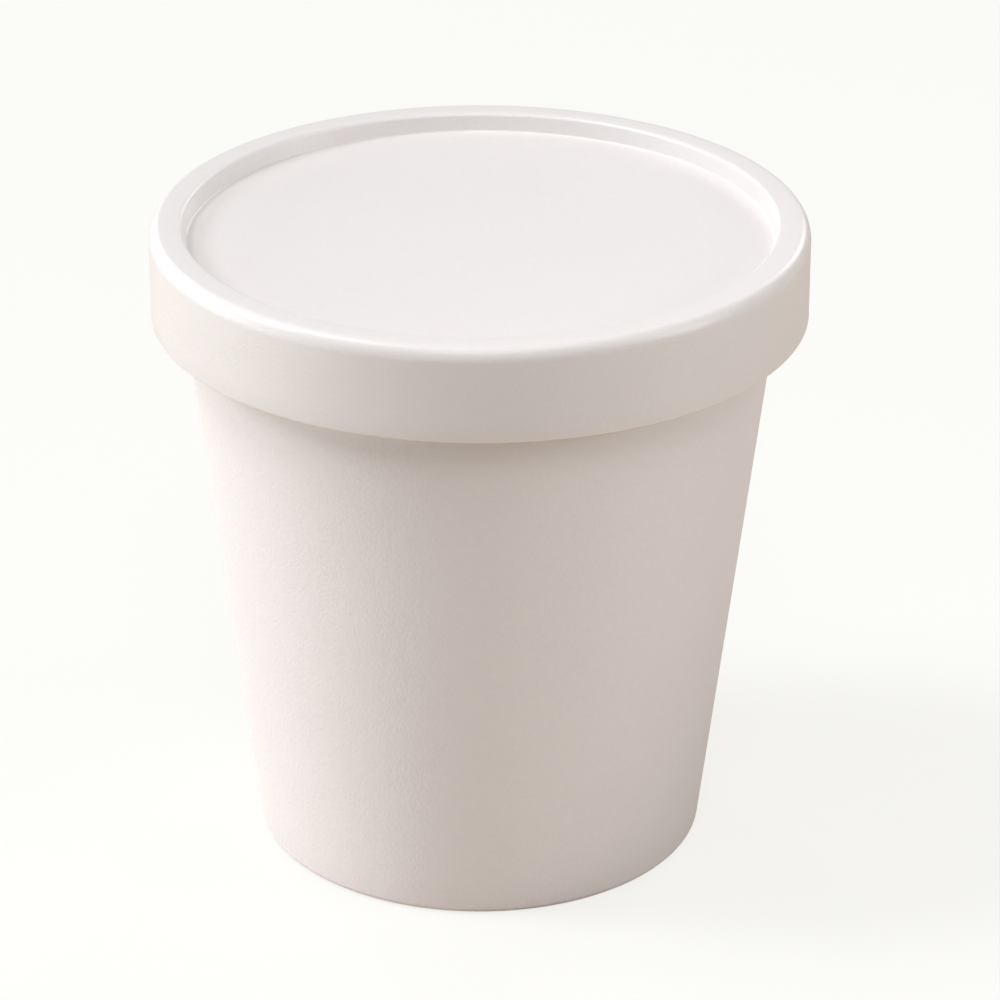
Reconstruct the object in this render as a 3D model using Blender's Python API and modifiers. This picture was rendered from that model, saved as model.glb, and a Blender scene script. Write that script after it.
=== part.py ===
"""A white paper food container of about half a litre, shut with its paper lid.

Two turned pieces share the Z axis and stand on Z = 0. The cup tapers down to a rounded foot, ends
at the top in a rolled rim, and has its base disc set up inside the foot. It is solid above that
disc, because the container is shut. The lid is a shell of one board: a round panel sunk below a
flat ring, a rounded shoulder, and a straight skirt that drops past the cup's rolled rim.

Lengths are in metres. Run it in Blender 4.5, from the Text Editor or from a terminal with
blender --background --python part.py.
"""

import math

import bmesh
import bpy

# Driving dimensions of the whole
HEIGHT = 0.10265  # floor to the top of the lid's ring
LID_RADIUS = 0.05075  # outside of the skirt
FIT_GAP = 0.0003  # clearance kept between the lid and the cup

# The lid
SKIRT_HEIGHT = 0.0148
LID_BOARD = 0.0007  # thickness of the board
SHOULDER_ACROSS = 0.0017  # the outer edge is rounded as a quarter of an ellipse
SHOULDER_DOWN = 0.0024
SHOULDER_STEPS = 6
UNDER_SHOULDER_ROUND = 0.0006
RING_INNER_RADIUS = 0.04565  # where the ring ends and the recess begins
RING_EDGE_ROUND = 0.0006
RECESS_DEPTH = 0.00295  # from the ring down to the panel
RECESS_DRAFT = 0.0005  # how far the recess wall leans in over its depth
PANEL_FILLET = 0.0003
UNDER_PANEL_ROUND = 0.00035

# The cup
FOOT_RADIUS = 0.03517  # the wall's line carried down to the floor
WALL_RADIUS_AT_SKIRT = 0.04582  # the wall level with the skirt's lower edge
FOOT_ROUND = 0.0014
FOOT_RING_WIDTH = 0.0020  # wall, base disc edge and turned-in wall together
BASE_RECESS = 0.0055  # height of the base disc's underside
BASE_CORNER_ROUND = 0.0004
RIM_BEAD_ROUND_SHARE = 0.98  # share of the bead's half width used as its corner radius

# How finely round shapes are cut
TURN_STEPS = 96
ARC_STEP = math.radians(18)
SMALL_ROUND = 0.0004  # corners rounder than this are cut by ARC_STEP, finer ones in two
SMOOTH_ANGLE = math.radians(35)

LID_WHITE = (0.86, 0.835, 0.82)
CUP_WHITE = (0.84, 0.805, 0.78)

SKIRT_BOTTOM = HEIGHT - SKIRT_HEIGHT
PANEL_TOP = HEIGHT - RECESS_DEPTH
PANEL_RADIUS = RING_INNER_RADIUS - RECESS_DRAFT


def wall_radius(height):
    """The cup's outer radius at this height: one straight taper from the foot."""
    taper = (WALL_RADIUS_AT_SKIRT - FOOT_RADIUS) / SKIRT_BOTTOM
    return FOOT_RADIUS + taper * height


def rounded(before, corner, after, radius):
    """The points of an arc of this radius that replaces the corner between two straight lines."""
    back = (before[0] - corner[0], before[1] - corner[1])
    ahead = (after[0] - corner[0], after[1] - corner[1])
    back_length, ahead_length = math.hypot(*back), math.hypot(*ahead)
    back = (back[0] / back_length, back[1] / back_length)
    ahead = (ahead[0] / ahead_length, ahead[1] / ahead_length)
    opening = math.acos(back[0] * ahead[0] + back[1] * ahead[1])
    turn = math.pi - opening
    reach = radius / math.tan(opening / 2)
    start = (corner[0] + back[0] * reach, corner[1] + back[1] * reach)
    side = math.copysign(1, back[0] * ahead[1] - back[1] * ahead[0])
    centre = (start[0] - side * back[1] * radius, start[1] + side * back[0] * radius)
    steps = max(2, round(turn / ARC_STEP)) if radius > SMALL_ROUND else 2
    spoke = (start[0] - centre[0], start[1] - centre[1])
    points = []
    for step in range(steps + 1):
        angle = -side * turn * step / steps
        cosine, sine = math.cos(angle), math.sin(angle)
        points.append(
            (
                centre[0] + spoke[0] * cosine - spoke[1] * sine,
                centre[1] + spoke[0] * sine + spoke[1] * cosine,
            )
        )
    return points


def profile_from(corners):
    """A profile's points from its corners (radius from the axis, height, rounding)."""
    points = []
    for index, (across, up, rounding) in enumerate(corners):
        if rounding == 0:
            points.append((across, up))
            continue
        before, after = corners[index - 1][:2], corners[index + 1][:2]
        points += rounded(before, (across, up), after, rounding)
    return points


def shoulder():
    """The lid's outer edge, from the ring down to the straight skirt."""
    corners = []
    for step in range(SHOULDER_STEPS + 1):
        angle = math.pi / 2 * step / SHOULDER_STEPS
        across = LID_RADIUS - SHOULDER_ACROSS * (1 - math.sin(angle))
        up = HEIGHT - SHOULDER_DOWN * (1 - math.cos(angle))
        corners.append((across, up, 0))
    return corners


def lid_profile():
    """From the panel's middle over the ring, down the skirt and back along the underside."""
    inside = LID_RADIUS - LID_BOARD
    under_ring = HEIGHT - LID_BOARD
    return profile_from(
        [
            (0, PANEL_TOP, 0),
            (PANEL_RADIUS, PANEL_TOP, PANEL_FILLET),
            (RING_INNER_RADIUS, HEIGHT, RING_EDGE_ROUND),
            *shoulder(),
            (LID_RADIUS, SKIRT_BOTTOM, 0),
            (inside, SKIRT_BOTTOM, 0),
            (inside, under_ring, UNDER_SHOULDER_ROUND),
            (RING_INNER_RADIUS + LID_BOARD, under_ring, 0),
            (PANEL_RADIUS + LID_BOARD, PANEL_TOP - LID_BOARD, UNDER_PANEL_ROUND),
            (0, PANEL_TOP - LID_BOARD, 0),
        ]
    )


def cup_profile():
    """From the middle under the panel, over the rolled rim, down the wall and under the base."""
    filled_to = PANEL_TOP - LID_BOARD - FIT_GAP
    rim_top = HEIGHT - LID_BOARD - FIT_GAP
    rim_inside = RING_INNER_RADIUS + LID_BOARD + FIT_GAP
    rim_outside = LID_RADIUS - LID_BOARD - FIT_GAP
    bead = rim_outside - rim_inside
    bead_round = RIM_BEAD_ROUND_SHARE * bead / 2
    rim_bottom = rim_top - bead
    return profile_from(
        [
            (0, filled_to, 0),
            (rim_inside, filled_to, 0),
            (rim_inside, rim_top, bead_round),
            (rim_outside, rim_top, bead_round),
            (rim_outside, rim_bottom, bead_round),
            (wall_radius(rim_bottom), rim_bottom, 0),
            (FOOT_RADIUS, 0, FOOT_ROUND),
            (FOOT_RADIUS - FOOT_RING_WIDTH, 0, 0),
            (wall_radius(BASE_RECESS) - FOOT_RING_WIDTH, BASE_RECESS, BASE_CORNER_ROUND),
            (0, BASE_RECESS, 0),
        ]
    )


def paper(name, colour, roughness):
    material = bpy.data.materials.new(name)
    material.use_nodes = True
    shader = material.node_tree.nodes["Principled BSDF"]
    shader.inputs["Base Color"].default_value = (*colour, 1)
    shader.inputs["Roughness"].default_value = roughness
    shader.inputs["Metallic"].default_value = 0
    return material


def turned(name, profile, material, collection):
    """An object turned round the Z axis from a profile that starts and ends on the axis."""
    outline = bmesh.new()
    points = [outline.verts.new((across, 0, up)) for across, up in profile]
    for start, end in zip(points, points[1:]):
        outline.edges.new((start, end))
    mesh = bpy.data.meshes.new(name)
    outline.to_mesh(mesh)
    outline.free()
    mesh.materials.append(material)
    piece = bpy.data.objects.new(name, mesh)
    collection.objects.link(piece)
    screw = piece.modifiers.new("turn", "SCREW")
    screw.steps = TURN_STEPS
    screw.render_steps = TURN_STEPS
    screw.use_merge_vertices = True
    screw.merge_threshold = 0.000001
    screw.use_smooth_shade = True
    return piece


def made_solid(piece):
    """Keeps what the modifiers make as the piece's own mesh, smooth but for its folds."""
    bpy.context.view_layer.update()
    graph = bpy.context.evaluated_depsgraph_get()
    mesh = bpy.data.meshes.new_from_object(piece.evaluated_get(graph))
    piece.modifiers.clear()
    piece.data = mesh
    mesh.shade_smooth()
    mesh.set_sharp_from_angle(angle=SMOOTH_ANGLE)


def main():
    for old in list(bpy.data.objects):
        bpy.data.objects.remove(old)
    container = bpy.data.collections.new("paper_food_container")
    bpy.context.scene.collection.children.link(container)
    cup = turned("cup", cup_profile(), paper("cup_paper", CUP_WHITE, 0.6), container)
    lid = turned("lid", lid_profile(), paper("lid_paper", LID_WHITE, 0.55), container)
    for piece in (cup, lid):
        made_solid(piece)


main()
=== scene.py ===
# %% [markdown]
# # A paper food tub, shut with its paper lid
#
# This lesson dresses a small turned object: a white paper tub with a recessed paper lid. The
# solids of the tub are loaded first and stay where they are. Three steps then make its pieces of
# board, the wall, the base and the lid, with their folds and cut edges, and with a glued overlap
# on the wall and on the lid's skirt. The next ones mix the paper finishes, and the last ones set
# a plain floor, soft studio light and the camera.

# %% Load the frame
import math

import bmesh
import bpy
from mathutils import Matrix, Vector


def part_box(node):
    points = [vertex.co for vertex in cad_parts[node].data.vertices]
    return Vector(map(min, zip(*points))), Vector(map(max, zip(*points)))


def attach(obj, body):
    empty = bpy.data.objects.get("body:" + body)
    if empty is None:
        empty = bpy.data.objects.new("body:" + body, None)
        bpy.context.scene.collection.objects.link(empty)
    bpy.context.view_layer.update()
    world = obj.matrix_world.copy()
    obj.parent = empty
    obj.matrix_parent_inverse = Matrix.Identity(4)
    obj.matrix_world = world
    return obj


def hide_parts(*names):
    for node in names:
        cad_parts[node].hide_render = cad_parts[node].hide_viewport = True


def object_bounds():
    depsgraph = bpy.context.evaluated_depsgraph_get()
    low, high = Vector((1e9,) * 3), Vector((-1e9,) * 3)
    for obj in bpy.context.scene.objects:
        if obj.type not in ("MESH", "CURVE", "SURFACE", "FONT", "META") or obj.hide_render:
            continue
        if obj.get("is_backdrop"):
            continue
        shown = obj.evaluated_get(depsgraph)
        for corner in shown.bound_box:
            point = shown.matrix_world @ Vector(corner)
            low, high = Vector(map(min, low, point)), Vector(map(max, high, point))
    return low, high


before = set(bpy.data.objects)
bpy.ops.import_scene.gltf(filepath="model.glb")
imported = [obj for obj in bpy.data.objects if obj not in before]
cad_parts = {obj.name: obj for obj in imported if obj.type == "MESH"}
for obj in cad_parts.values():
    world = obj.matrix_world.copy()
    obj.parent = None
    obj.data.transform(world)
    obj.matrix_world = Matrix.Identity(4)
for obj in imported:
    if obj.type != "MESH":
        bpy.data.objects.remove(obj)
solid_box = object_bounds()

MM = 0.001


def in_mm(corner):
    return [round(axis / MM, 2) for axis in corner]


for node in sorted(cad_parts):
    low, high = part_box(node)
    print(node, "goes from", in_mm(low), "to", in_mm(high), "mm")

# %% [markdown]
# ## The sizes of the tub
#
# The height, the lid's radius and the skirt's edge are read from the solids' boxes. A box says no
# more than that, so most other outer sizes are written here again, as the solids were made with
# them. The cup's board, its fold and the overlaps are in this script alone. The underside, the
# board's thickness and all that the lid hides are guesses at how such tubs are made.

# %% Sizes
lid_low, lid_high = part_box("lid")
top = lid_high.z  # the lid's ring
skirt_bottom = lid_low.z
lid_radius = lid_high.x

lid_board = 0.7 * MM
wall_board = 0.45 * MM
fit_gap = 0.3 * MM

shoulder_across = 1.7 * MM  # the outer edge is rounded as a quarter of an ellipse
shoulder_down = 2.4 * MM
ring_inner_radius = 45.65 * MM  # where the ring ends and the recess begins
recess_depth = 2.95 * MM
recess_draft = 0.5 * MM
panel_top = top - recess_depth

foot_radius = 35.17 * MM  # the wall's line carried down to the floor
wall_radius_at_skirt = 45.82 * MM
foot_ring_width = 2.0 * MM
base_recess = 5.5 * MM
turned_in_height = 4.6 * MM  # how far the folded wall reaches up inside the foot


def wall_radius(height):
    """The cup's outer radius at a height: one straight taper from the foot."""
    taper = (wall_radius_at_skirt - foot_radius) / skirt_bottom
    return foot_radius + taper * height


print(f"the lid is {2 * lid_radius / MM:.1f} mm across and the tub {top / MM:.1f} mm tall")

# %% [markdown]
# ## Turning a piece of board
#
# The cup and the lid are round, so each of their pieces starts as a few corner points on one side
# of the axis. Spinning the points round the axis gives a faceted shape with sharp rings. A bevel
# on a ring then gives that fold its radius. This keeps a piece readable: its corners are
# named sizes, and each fold has one rounding. The alternative, drawing every arc as points, hides
# the shape in numbers.


# %% Spin a piece from its corners
UP = Vector((0, 0, 1))
TURN_STEPS = 288
SAME_POINT = 0.001 * MM


def spun(corners, closed=False):
    """A bmesh turned from corner points (radius, height)."""
    board = bmesh.new()
    points = [board.verts.new((across, 0, up)) for across, up in corners]
    pairs = list(zip(points, points[1:]))
    if closed:
        pairs.append((points[-1], points[0]))
    lines = [board.edges.new(pair) for pair in pairs]
    bmesh.ops.spin(
        board,
        geom=points + lines,
        cent=(0, 0, 0),
        axis=UP,
        dvec=(0, 0, 0),
        angle=math.tau,
        steps=TURN_STEPS,
        use_merge=True,
    )
    bmesh.ops.remove_doubles(board, verts=board.verts, dist=SAME_POINT)
    bmesh.ops.recalc_face_normals(board, faces=board.faces)
    return board


step_length = math.tau * lid_radius / TURN_STEPS
print(f"a turn has {TURN_STEPS} steps, {step_length / MM:.2f} mm long on the lid's skirt")


# %% Find a ring of edges and round it
ON_RING = 0.01 * MM
ON_CUT = 0.0001 * MM


def ring_edges(board, across, up):
    """The edges of the ring at this radius and height."""

    def on_ring(vert):
        away = abs(math.hypot(vert.co.x, vert.co.y) - across)
        return away < ON_RING and abs(vert.co.z - up) < ON_RING

    return [edge for edge in board.edges if all(on_ring(vert) for vert in edge.verts)]


def round_fold(board, corner, radius, segments=6):
    """Gives the fold at a corner its radius."""
    edges = ring_edges(board, *corner)
    bmesh.ops.bevel(
        board,
        geom=edges,
        offset=radius,
        offset_type="OFFSET",
        affect="EDGES",
        segments=segments,
        profile=0.5,
        material=-1,
    )


def cut_level(board, heights):
    """Adds level rings of points, which an overlap needs to follow the wall."""
    for height in heights:
        bmesh.ops.bisect_plane(
            board,
            geom=[*board.verts, *board.edges, *board.faces],
            plane_co=(0, 0, height),
            plane_no=UP,
            dist=ON_CUT,
        )


print("a fold is found within", ON_RING / MM, "mm of its corner")


# %% Keep a finished piece
SHARP_FROM = math.radians(40)


def finished(board, name):
    """Turns a bmesh into an object at the origin, smooth but for its sharp edges."""
    mesh = bpy.data.meshes.new(name)
    board.to_mesh(mesh)
    board.free()
    mesh.shade_smooth()
    mesh.set_sharp_from_angle(angle=SHARP_FROM)
    piece = bpy.data.objects.new(name, mesh)
    bpy.context.scene.collection.objects.link(piece)
    print(f"{name}: {len(mesh.polygons)} faces")
    return piece


print(f"folds sharper than {math.degrees(SHARP_FROM):.0f} degrees stay sharp")


# %% [markdown]
# ## The glued overlap
#
# A paper cup's wall is a blank of board and a paper lid's skirt is often a strip, rolled round and
# glued where it overlaps. From outside the overlap shows as one fine raised edge that runs up the
# wall, and as a soft rise some millimetres beside it, where the outer ply climbs over the hidden
# one. It could be a separate strip, but a strip of one thickness has two raised edges. Here the
# turned wall is cut by two upright planes, which give it points on both sides of the edge, and the
# points between the edge and the rise move out. The step is lower than the board is thick.

# %% Cut upright lines
cut_edge = 0.12 * MM  # how far the step of an overlap's edge reaches along the skirt
print(f"an overlap's edge is {cut_edge / MM:.2f} mm wide on the lid's skirt")


def angle_of(point):
    """The angle round the axis, from +Y, positive towards -X."""
    return math.atan2(-point.x, point.y)


def cut_upright(board, angle, low, high):
    """Adds an upright line of points on the +Y side, at an angle from +Y."""
    side = Vector((math.cos(angle), math.sin(angle), 0))
    faces = [
        face
        for face in board.faces
        if low < face.calc_center_median().z < high and face.calc_center_median().y > 0
    ]
    edges = {edge for face in faces for edge in face.edges}
    verts = {vert for face in faces for vert in face.verts}
    bmesh.ops.bisect_plane(
        board,
        geom=[*verts, *edges, *faces],
        plane_co=(0, 0, 0),
        plane_no=side,
        dist=ON_CUT,
    )


# %% Raise an overlap
raw, cut = 1, 2  # the places of these two finishes on a piece, after the coated one
end_fade = 1.5 * MM  # how far an overlap takes to sink in above and below


def smooth_step(value):
    value = min(max(value, 0), 1)
    return value * value * (3 - 2 * value)


def raise_overlap(board, is_outer, centre, width, rise, step, low, high):
    """Lifts the outer face between two angles by a step, fading out at both ends."""
    edge_width = cut_edge / lid_radius
    for angle in (centre - width / 2, centre - width / 2 + edge_width):
        cut_upright(board, angle, low, high)
    for face in board.faces:
        middle = face.calc_center_median()
        along = angle_of(middle) - (centre - width / 2)
        if 0 < along < edge_width and middle.y > 0 and all(map(is_outer, face.verts)):
            face.material_index = cut
    for vert in board.verts:
        if not is_outer(vert) or vert.co.y < 0:
            continue
        along = angle_of(vert.co) - (centre - width / 2)
        raised = smooth_step(along / edge_width) * smooth_step((width - along) / rise)
        from_low, from_high = (vert.co.z - low) / end_fade, (high - vert.co.z) / end_fade
        outwards = Vector((vert.co.x, vert.co.y, 0)).normalized()
        vert.co += outwards * step * raised * smooth_step(from_low) * smooth_step(from_high)
    print(f"an overlap stands {step / MM} mm proud")


# %% [markdown]
# ## The cup's wall
#
# A paper cup's wall is one blank. At the top it curls outwards into a bead that the lid goes over,
# and at the foot it is folded in and up, so that the tub stands on a rounded ring of board. It
# could be a sheet with a Solidify modifier, but an even offset crosses itself at a fold that is
# tighter than the board is thick, as the one at the foot is. So the profile is closed: its corners
# run down the outer face, round the fold and back up the inner face. The bead is filled, because
# the lid hides its curl.

# %% Lay out the wall
lip_drop = 0.6 * MM  # how far the curl's tip hangs below the bead
rim_top = top - lid_board - fit_gap
rim_outside = lid_radius - lid_board - fit_gap
rim_inside = ring_inner_radius + lid_board + fit_gap
bead = rim_outside - rim_inside
rim_bottom = rim_top - bead

wall_corners = {
    "lip": (rim_inside, rim_bottom - lip_drop),
    "bead_inside": (rim_inside, rim_top),
    "bead_outside": (rim_outside, rim_top),
    "bead_under": (rim_outside, rim_bottom),
    "wall_top": (wall_radius(rim_bottom), rim_bottom),
    "foot": (foot_radius, 0),
    "fold": (foot_radius - foot_ring_width, 0),
    "fold_tip": (
        wall_radius(turned_in_height) - foot_ring_width,
        turned_in_height,
    ),
    "fold_back": (
        wall_radius(turned_in_height) - foot_ring_width + wall_board,
        turned_in_height,
    ),
    "fold_inside": (foot_radius - foot_ring_width + wall_board, wall_board),
    "foot_inside": (foot_radius - wall_board, wall_board),
    "lip_inside": (wall_radius(rim_bottom) - wall_board, rim_bottom - lip_drop),
}
print(f"the rolled bead is {bead / MM:.2f} mm thick")

# %% Spin and fold the wall
bead_round = bead * 0.49  # nearly half its width, so that it is nearly round
wall_bands = 12
wall = spun(wall_corners.values(), closed=True)
for corner in ("bead_inside", "bead_outside", "bead_under"):
    round_fold(wall, wall_corners[corner], bead_round)
round_fold(wall, wall_corners["foot"], 1.25 * MM, segments=8)
round_fold(wall, wall_corners["fold"], 0.4 * MM, segments=4)
round_fold(wall, wall_corners["fold_tip"], 0.08 * MM, segments=2)
cut_level(wall, [skirt_bottom * line / wall_bands for line in range(1, wall_bands)])
print("the wall has", len(wall.faces), "faces before its overlap")


# %% Glue the wall's overlap
def on_wall(vert):
    """The wall's outer face, below the bead."""
    across = math.hypot(vert.co.x, vert.co.y)
    return abs(across - wall_radius(vert.co.z)) < 0.02 * MM


raise_overlap(
    wall,
    on_wall,
    centre=0,
    width=9 * MM / wall_radius_at_skirt,
    rise=3 * MM / wall_radius_at_skirt,
    step=0.3 * MM,
    low=1.2 * MM,
    high=rim_bottom,
)

# %% Mark the fold's cut edge
facing = 0.3  # a face looks a way when this much of its normal does
fold_tip_reach = wall_corners["fold_back"][0] + 0.05 * MM
for face in wall.faces:
    middle = face.calc_center_median()
    across = math.hypot(middle.x, middle.y)
    if across < fold_tip_reach and face.normal.z > facing and middle.z > base_recess / 2:
        face.material_index = cut
cup_wall = finished(wall, "cup_wall")

# %% [markdown]
# ## The cup's base
#
# The base of such a cup is a disc of board with its edge turned down. The edge is gripped between
# the wall and the fold, so from below little more than the disc shows, a few millimetres up inside
# the foot. A plain disc could serve, but the space between the wall and the fold would then be
# open above the fold's tip. So the turned edge is made too, spun and rounded as the wall is.

# %% Model the base
glue_gap = 0.08 * MM
flange_bottom = 1.0 * MM
flange_lean = 0.5 * MM  # how far the turned edge leans in, as the wall does
flange_radius = wall_radius(base_recess) - foot_ring_width + wall_board + glue_gap
base_corners = {
    "middle": (0, base_recess),
    "flat": (flange_radius - 1.5 * MM, base_recess),
    "underside_edge": (flange_radius, base_recess),
    "flange_tip": (flange_radius - flange_lean, flange_bottom),
    "flange_tip_out": (flange_radius - flange_lean + wall_board, flange_bottom),
    "shoulder": (flange_radius + wall_board, base_recess + wall_board),
    "middle_up": (0, base_recess + wall_board),
}
base = spun(base_corners.values())
round_fold(base, base_corners["underside_edge"], 0.5 * MM, segments=5)
round_fold(base, base_corners["shoulder"], 0.8 * MM, segments=5)
cup_base = finished(base, "cup_base")

# %% [markdown]
# ## The lid
#
# The lid has a round panel, a low wall up to a flat ring, a rounded shoulder and a straight skirt.
# A real one may be a disc and a strip glued together, and here it is one piece. A Solidify
# modifier could thicken a single sheet, but the fold inside the shoulder has a rounding of its
# own, which isn't an even offset of the outer one. So both faces are drawn as corners in one
# profile, from the middle of the panel out over the skirt's cut edge and back underneath. The
# skirt gets an overlap at the back, as a rolled strip has. The coating ends at the cut edge, and
# the inside is left raw.

# %% Lay out the lid
def quarter_ellipse(across, down, steps):
    """Points down the lid's outer edge, from the ring to the straight skirt."""
    points = []
    for step in range(steps + 1):
        angle = math.pi / 2 * step / steps
        points.append(
            (
                lid_radius - across * (1 - math.sin(angle)),
                top - down * (1 - math.cos(angle)),
            )
        )
    return points


shoulder = quarter_ellipse(shoulder_across, shoulder_down, 16)
lid_corners = {
    "panel_middle": (0, panel_top),
    "panel_flat": (ring_inner_radius - recess_draft - 1.5 * MM, panel_top),
    "panel_edge": (ring_inner_radius - recess_draft, panel_top),
    "ring_inside": (ring_inner_radius, top),
    **{f"shoulder_{step}": point for step, point in enumerate(shoulder)},
    "cut_outside": (lid_radius, skirt_bottom),
    "cut_inside": (lid_radius - lid_board, skirt_bottom),
    "under_shoulder": (lid_radius - lid_board, top - lid_board),
    "under_ring": (ring_inner_radius + lid_board, top - lid_board),
    "under_panel": (
        ring_inner_radius - recess_draft + lid_board,
        panel_top - lid_board,
    ),
    "under_middle": (0, panel_top - lid_board),
}
print("the lid's profile has", len(lid_corners), "corners")

# %% Spin and fold the lid
skirt_bands = 4
skirt_top = top - shoulder_down
lid = spun(lid_corners.values())
round_fold(lid, lid_corners["panel_edge"], 0.3 * MM)
round_fold(lid, lid_corners["ring_inside"], 0.6 * MM)
round_fold(lid, lid_corners["cut_outside"], 0.4 * MM, segments=6)
round_fold(lid, lid_corners["cut_inside"], 0.15 * MM, segments=3)
round_fold(lid, lid_corners["under_shoulder"], 0.6 * MM)
cut_level(
    lid,
    [
        skirt_bottom + (skirt_top - skirt_bottom) * line / skirt_bands
        for line in range(1, skirt_bands)
    ],
)
print("the lid has", len(lid.faces), "faces before its overlap")


# %% Glue the skirt's overlap
def on_skirt(vert):
    """The skirt's outer face."""
    return math.hypot(vert.co.x, vert.co.y) > lid_radius - 0.25 * MM


raise_overlap(
    lid,
    on_skirt,
    centre=-0.35,
    width=8 * MM / lid_radius,
    rise=3 * MM / lid_radius,
    step=0.3 * MM,
    low=skirt_bottom - 2 * MM,
    high=skirt_top,
)


# %% Leave the lid's inside and cut edge uncoated
cut_height = 0.4 * MM  # the rounding of the skirt's cut edge


def is_raw_on_lid(face):
    """The underside and the cut edge, but not the recess wall or the ring's inner fold."""
    middle = face.calc_center_median()
    outwards = Vector((middle.x, middle.y, 0)).normalized()
    in_recess = outwards.dot(middle) < ring_inner_radius + 0.5 * MM
    faces_in = face.normal.dot(outwards) < -facing and not in_recess
    return faces_in or face.normal.z < -facing


for face in lid.faces:
    if is_raw_on_lid(face):
        on_cut = face.calc_center_median().z < skirt_bottom + cut_height
        face.material_index = cut if on_cut else raw
lid_piece = finished(lid, "lid_board")

# %% [markdown]
# ## Shader maths
#
# A paper finish is a few noises mixed and scaled. Written as nodes and links it is long, so one
# small class wraps a node's output and lets ordinary sums add the Math nodes. A second class holds
# the material under construction and adds every node through one method.


# %% Wires that can be added up
class Wire:
    """The output of a shader node, with the sums that a finish needs."""

    def __init__(self, finish, socket):
        self.finish = finish
        self.socket = socket

    def _maths(self, operation, first, second):
        return self.finish.node(
            "ShaderNodeMath", {"operation": operation}, {0: first, 1: second}
        )

    def __add__(self, other):
        return self._maths("ADD", self, other)

    def __radd__(self, other):
        return self._maths("ADD", other, self)

    def __sub__(self, other):
        return self._maths("SUBTRACT", self, other)

    def __rsub__(self, other):
        return self._maths("SUBTRACT", other, self)

    def __mul__(self, other):
        return self._maths("MULTIPLY", self, other)

    def __rmul__(self, other):
        return self._maths("MULTIPLY", other, self)

    def output(self, name):
        """Another output of the same node."""
        return Wire(self.finish, self.socket.node.outputs[name])


print("sums on a wire: add, subtract, multiply")


# %% A material under construction
class Finish:
    """A material under construction."""

    def __init__(self, name):
        self.material = bpy.data.materials.new(name)
        self.material.use_nodes = True
        self.tree = self.material.node_tree
        self.shader = self.tree.nodes["Principled BSDF"]

    def node(self, kind, settings=None, sockets=None, output=0):
        """Adds a node: its settings first, then the values or links of its sockets."""
        made = self.tree.nodes.new(kind)
        for name, value in (settings or {}).items():
            setattr(made, name, value)
        for name, value in (sockets or {}).items():
            self.feed(made.inputs[name], value)
        return Wire(self, made.outputs[output])

    def feed(self, socket, value):
        if isinstance(value, Wire):
            self.tree.links.new(value.socket, socket)
        else:
            socket.default_value = value

    def shade(self, **values):
        """Sets the sockets of the main shader, with spaces in their names as underscores."""
        for name, value in values.items():
            self.feed(self.shader.inputs[name.replace("_", " ")], value)

    def shade_between(self, factor, other):
        """Shows another shader where the factor is 1."""
        both = self.node(
            "ShaderNodeMixShader",
            {},
            {0: factor, 1: Wire(self, self.shader.outputs[0]), 2: other},
        )
        self.feed(self.tree.nodes["Material Output"].inputs["Surface"], both)

    def mix(self, factor, first, second):
        """A colour between two others."""
        return self.node(
            "ShaderNodeMix",
            {"data_type": "RGBA"},
            {"Factor": factor, 6: first, 7: second},
            output=2,
        )

    def place(self):
        """Where a point of the surface is, in metres."""
        return self.node("ShaderNodeTexCoord", output="Object")

    def rolled_out(self):
        """The same, with the wall rolled out: along it, up it, and out from the axis."""
        parts = self.node("ShaderNodeSeparateXYZ", {}, {"Vector": self.place()}, "X")
        x, y, z = parts, parts.output("Y"), parts.output("Z")
        angle = self.node("ShaderNodeMath", {"operation": "ARCTAN2"}, {0: x, 1: 0 - y})
        off = self.node("ShaderNodeMath", {"operation": "SQRT"}, {0: x * x + y * y})
        return self.node(
            "ShaderNodeCombineXYZ",
            {},
            {"X": angle * wall_radius_at_skirt, "Y": z, "Z": off},
        )

    def noise(self, place, across, along, lean=0.0, detail=2.0, roughness=0.5):
        """Noise with features about this wide and this long, in metres, turned by the lean."""
        turned = self.node(
            "ShaderNodeMapping",
            {"vector_type": "TEXTURE"},
            {
                "Vector": place,
                "Rotation": (0, 0, -math.radians(lean)),
                "Scale": (across, along, across),
            },
        )
        return self.node(
            "ShaderNodeTexNoise",
            {"noise_dimensions": "3D"},
            {"Vector": turned, "Scale": 1.0, "Detail": detail, "Roughness": roughness},
        )


print("a finish reads where a point is in metres, so its grain has a real size")

# %% [markdown]
# ## The paper finish
#
# Coated board is nearly flat white, but it isn't plastic. Close up, its fibres give it a fine
# uneven grain that catches raking light, its colour drifts a little, and its shine is broad and
# weak. The grain could be bump alone, but then it would show mostly where the light rakes. So
# short slanted fibres, flecks and a soft swell make the bump, and the fibres, the flecks and wide
# clouds also shift the colour by a few hundredths. On the cup's wall the fibres lie on the
# rolled-out blank. So they stay the same size all the way round, and narrow with the wall by
# nearly a quarter towards the foot.


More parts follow.
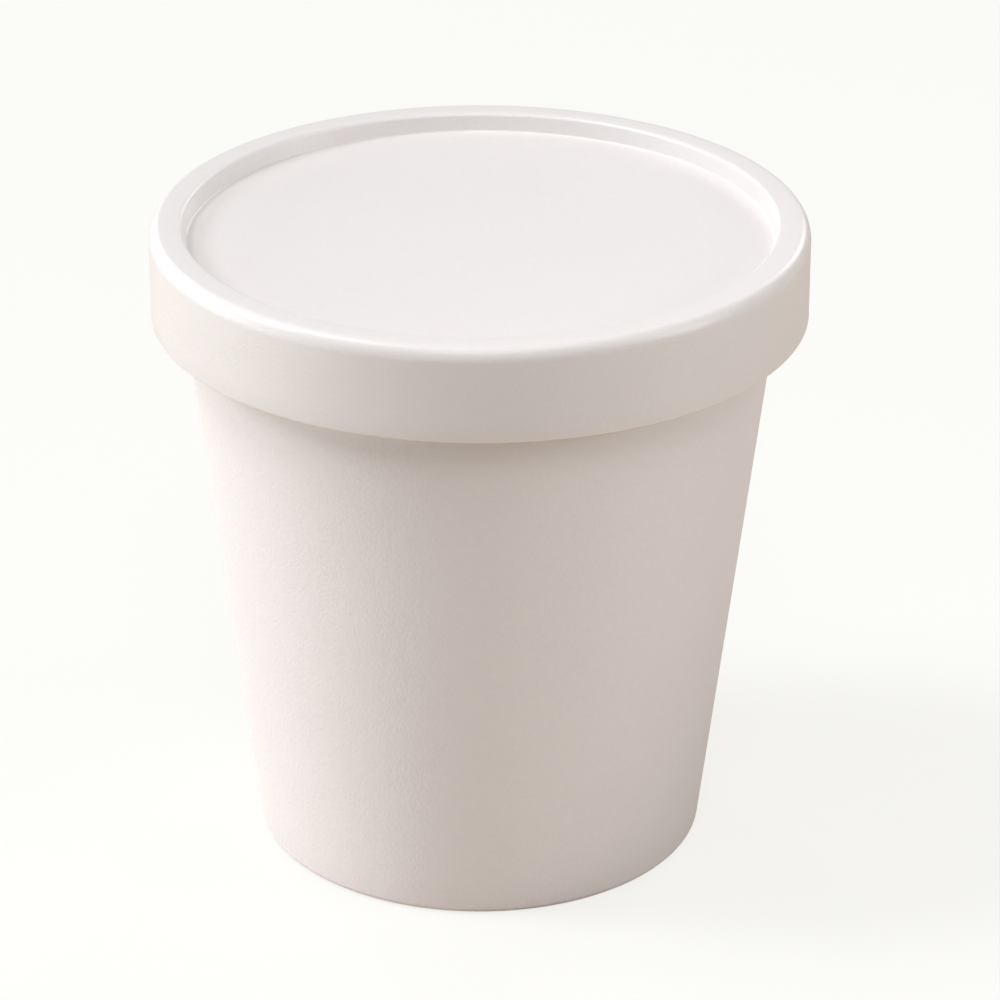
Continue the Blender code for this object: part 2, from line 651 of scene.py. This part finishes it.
# %% Mix the coated board's finish
def board_finish(name, white, shade, roughness, grain, rolled=False):
    """Coated board: two near whites, and a grain this deep, in metres."""
    finish = Finish(name)
    place = finish.place()
    blank = finish.rolled_out() if rolled else place
    clouds = finish.noise(place, 14 * MM, 14 * MM, detail=3.0)
    flecks = finish.noise(place, 0.9 * MM, 0.9 * MM, detail=4.0, roughness=0.6)
    fibres = finish.noise(blank, 0.45 * MM, 0.7 * MM, lean=25, detail=2.0)
    swell = finish.noise(place, 2.6 * MM, 2.6 * MM)
    tone = clouds * 0.5 + flecks * 1.2 + fibres * 1.2 - 0.95  # about 0.5 on average
    colour = finish.mix(tone, (*shade, 1), (*white, 1))
    height = fibres + flecks * 0.5 + swell * 0.3
    bump = finish.node(
        "ShaderNodeBump",
        {},
        {"Strength": 1.0, "Distance": grain, "Height": height},
    )
    finish.shade(
        Base_Color=colour,
        Roughness=roughness - 0.06 + 0.12 * flecks,
        Normal=bump,
        IOR=1.45,
    )
    return finish.material


cup_white, cup_shade = (0.83, 0.797, 0.80), (0.80, 0.76, 0.76)
lid_white, lid_shade = (0.76, 0.724, 0.714), (0.736, 0.695, 0.684)
cup_paper = board_finish(
    "cup_board", cup_white, cup_shade, roughness=0.55, grain=0.055 * MM, rolled=True
)
base_paper = board_finish("base_board", cup_white, cup_shade, roughness=0.55, grain=0.05 * MM)
lid_paper = board_finish("lid_board", lid_white, lid_shade, roughness=0.33, grain=0.035 * MM)
print("coated finishes:", cup_paper.name, base_paper.name, lid_paper.name)

# %% [markdown]
# ## Uncoated board
#
# Inside the lid and where a blank is cut, the board's pulp is bare. The lid's inside is made
# brownish, so that the light which it throws back under the skirt is warm. A cut edge is made
# paler than the coating, which is partly a painted highlight: it stands in for the light on
# the thin bright line along the skirt's bottom edge. Both could be one flat colour, but bare pulp
# is uneven, so a fine noise mottles them. They are also rougher than the coated face.


# %% Mix the uncoated board's finish
def raw_finish(name, pale, dark):
    """Uncoated board, as on the blanks' cut edges and on the lid's inside."""
    finish = Finish(name)
    place = finish.place()
    pulp = finish.noise(place, 0.25 * MM, 0.25 * MM, detail=4.0, roughness=0.7)
    height = finish.noise(place, 0.12 * MM, 0.12 * MM, detail=3.0)
    bump = finish.node(
        "ShaderNodeBump",
        {},
        {"Strength": 1.0, "Distance": 0.02 * MM, "Height": height},
    )
    finish.shade(
        Base_Color=finish.mix(pulp, (*dark, 1), (*pale, 1)),
        Roughness=0.8 + 0.1 * pulp,
        Normal=bump,
        IOR=1.4,
    )
    return finish.material


raw_paper = raw_finish("raw_board", (0.74, 0.56, 0.38), (0.64, 0.46, 0.30))
# The cut edge is painted paler than the coating: bare board, partly a painted highlight.
cut_paper_with_painted_highlight = raw_finish("cut_board_with_painted_highlight", (0.96, 0.88, 0.80), (0.92, 0.83, 0.74))
print("uncoated finishes:", raw_paper.name, cut_paper_with_painted_highlight.name)

# %% [markdown]
# ## Dressing the pieces
#
# Each piece carries three finishes: the coated face, the raw face and the cut edge, in that order.
# The lid shows all three, the wall the first and the last, and the base the first. Each piece
# replaces the solid that it stands for and rides on the tub's one body.

# %% Dress the pieces
for piece, material, node, slot in (
    (cup_wall, cup_paper, "cup", "cup_paper"),
    (cup_base, base_paper, "cup", "cup_paper"),
    (lid_piece, lid_paper, "lid", "lid_paper"),
):
    for finish in (material, raw_paper, cut_paper_with_painted_highlight):
        piece.data.materials.append(finish)
    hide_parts(node)
    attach(piece, "root")
    print(piece.name, "stands for", node)

# %% [markdown]
# ## The floor
#
# The tub stands on a plain pale sheet that fills the view. One near-white material would be
# simpler, but with these lights it throws up so much light that the tub's front comes out about
# thirty levels of 255 brighter, and most of its warm shade is gone. So the sheet has two shaders.
# Light that bounces off it meets a dull beige one. The view meets a near-white one, which keeps a
# faint shadow and whose brightness is mostly a glow of its own. So the sheet that is seen isn't
# the one that lights the tub.

# %% Make the floor
floor_mesh = bmesh.new()
bmesh.ops.create_grid(floor_mesh, x_segments=1, y_segments=1, size=3.0)
just_under_the_foot = (0, 0, -0.02 * MM)
bmesh.ops.translate(floor_mesh, verts=floor_mesh.verts, vec=just_under_the_foot)
floor = finished(floor_mesh, "floor")
floor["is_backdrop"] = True

# %% Mix the floor's finish
floor_finish = Finish("floor_pale")
floor_finish.shade(Base_Color=(0.58, 0.5, 0.42, 1), Roughness=0.9, Specular_IOR_Level=0.1)
pale_top = floor_finish.node(
    "ShaderNodeBsdfPrincipled",
    {},
    {
        "Base Color": (0.15, 0.15, 0.148, 1),
        "Roughness": 0.9,
        "Specular IOR Level": 0.1,
        "Emission Color": (1, 0.995, 0.965, 1),
        "Emission Strength": 0.795,
    },
)
seen = floor_finish.node("ShaderNodeLightPath", output="Is Camera Ray")
floor_finish.shade_between(seen, pale_top)
floor.data.materials.append(floor_finish.material)
print("the floor is", floor.dimensions.x, "m wide")

# %% [markdown]
# ## The light
#
# White paper has hardly any colour to show, so its shape is read from the light. The strongest
# light comes from the left and rakes across the wall, and two cards on that side add to it. Weaker
# lights from the front, the right and behind keep the other sides from going dark. A card overhead
# and one at the right lift the lid's top and the tub's front, and strengthen the bright line along
# the front of the lid's shoulder. Suns with a wide spread stand for large lights far off, because
# they light the tub evenly. Area cards stand close, where the light should fade along the tub.

# %% Light the room
world = bpy.data.worlds.new("studio")
bpy.context.scene.world = world
world.use_nodes = True
room = world.node_tree.nodes["Background"]
room.inputs["Color"].default_value = (1, 1, 0.98, 1)
room.inputs["Strength"].default_value = 0.11
print("the room's own light:", round(room.inputs["Strength"].default_value, 3))


# %% Make a sun or a card
def towards(azimuth, elevation):
    """A direction: azimuth 0 is on the camera's side, 90 on its left, 180 behind the tub."""
    a, e = math.radians(azimuth), math.radians(elevation)
    return Vector((-math.sin(a) * math.cos(e), -math.cos(a) * math.cos(e), math.sin(e)))


def studio_light(name, kind, azimuth, elevation, strength, colour):
    """A light of this kind that shines from this direction."""
    lamp = bpy.data.lights.new(name, kind)
    lamp.energy = strength
    lamp.color = colour
    light = bpy.data.objects.new(name, lamp)
    bpy.context.scene.collection.objects.link(light)
    light.rotation_euler = towards(azimuth, elevation).to_track_quat("Z", "Y").to_euler()
    return light


def sun(name, azimuth, elevation, spread, strength, colour=(1, 1, 1)):
    """A soft light from far off."""
    light = studio_light(name, "SUN", azimuth, elevation, strength, colour)
    light.data.angle = math.radians(spread)


def card(name, azimuth, elevation, distance, level, size, strength, colour=(1, 1, 1)):
    """A bright card near the tub, out of sight, that faces the axis at a level."""
    energy = strength * math.pi * distance**2
    light = studio_light(name, "AREA", azimuth, elevation, energy, colour)
    light.data.shape = "RECTANGLE"
    light.data.size, light.data.size_y = size
    light.location = distance * towards(azimuth, elevation) + Vector((0, 0, level))
    light.visible_camera = False


print("a light 45 degrees up on the left lies towards", tuple(towards(90, 45)))

# %% Place the lights
sun("key_high", azimuth=90, elevation=60, spread=20, strength=1.195, colour=(0.98, 0.99, 1.0))
sun("key_low", azimuth=90, elevation=35, spread=20, strength=1.17, colour=(0.925, 0.967, 1.0))
sun("front", azimuth=0, elevation=50, spread=20, strength=0.504)
sun("side", azimuth=285, elevation=15, spread=20, strength=0.756, colour=(1.0, 0.99, 0.97))
sun("rear_right", azimuth=210, elevation=20, spread=20, strength=0.53)
sun("rear_left", azimuth=150, elevation=20, spread=20, strength=0.466)
card(
    "overhead",
    azimuth=0,
    elevation=75,
    distance=0.3,
    level=0.1,
    size=(0.25, 0.25),
    strength=1.13,
)
card(
    "right_fill",
    azimuth=300,
    elevation=30,
    distance=0.25,
    level=0.1,
    size=(0.15, 0.15),
    strength=0.46,
    colour=(1.0, 0.99, 0.98),
)
card(
    "left_card",
    azimuth=100,
    elevation=0,
    distance=0.6,
    level=0.14,
    size=(0.6, 0.2),
    strength=1.08,
    colour=(0.91, 0.965, 1.0),
)
card(
    "near_card",
    azimuth=75,
    elevation=0,
    distance=0.35,
    level=0.05,
    size=(0.3, 0.1),
    strength=0.51,
    colour=(0.92, 0.97, 0.99),
)
print("lights:", ", ".join(light.name for light in bpy.data.lights))

# %% [markdown]
# ## The camera
#
# A long lens from some way off keeps the perspective weak, as on a catalogue page. The
# camera looks down far enough to show the lid's ring and panel. It is aimed a little above the
# tub's middle and shifted sideways instead of turned, so that the upright axis stays upright.

# %% Place the camera
aim_height = 54.83 * MM
distance = 725.6 * MM
elevation = math.radians(25.36)
camera_data = bpy.data.cameras.new("camera")
camera_data.lens = 165.6
camera_data.sensor_width = 36
camera_data.shift_x = 0.02
camera_data.clip_start = 0.01
camera = bpy.data.objects.new("camera", camera_data)
bpy.context.scene.collection.objects.link(camera)
camera.location = (
    0,
    -distance * math.cos(elevation),
    aim_height + distance * math.sin(elevation),
)
aim = Vector((0, 0, aim_height))
camera.rotation_euler = (aim - camera.location).to_track_quat("-Z", "Y").to_euler()
bpy.context.scene.camera = camera
bpy.context.scene.view_settings.view_transform = "Standard"
print(f"the camera looks down at {math.degrees(elevation):.1f} degrees")

# %% [markdown]
# ## Measuring the pieces
#
# The box of the finished pieces is measured and kept beside the box of the solids, because the
# pieces have to fill the same space.

# %% Measure the pieces
visual_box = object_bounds()
print("solids:", *map(in_mm, solid_box), "pieces:", *map(in_mm, visual_box))
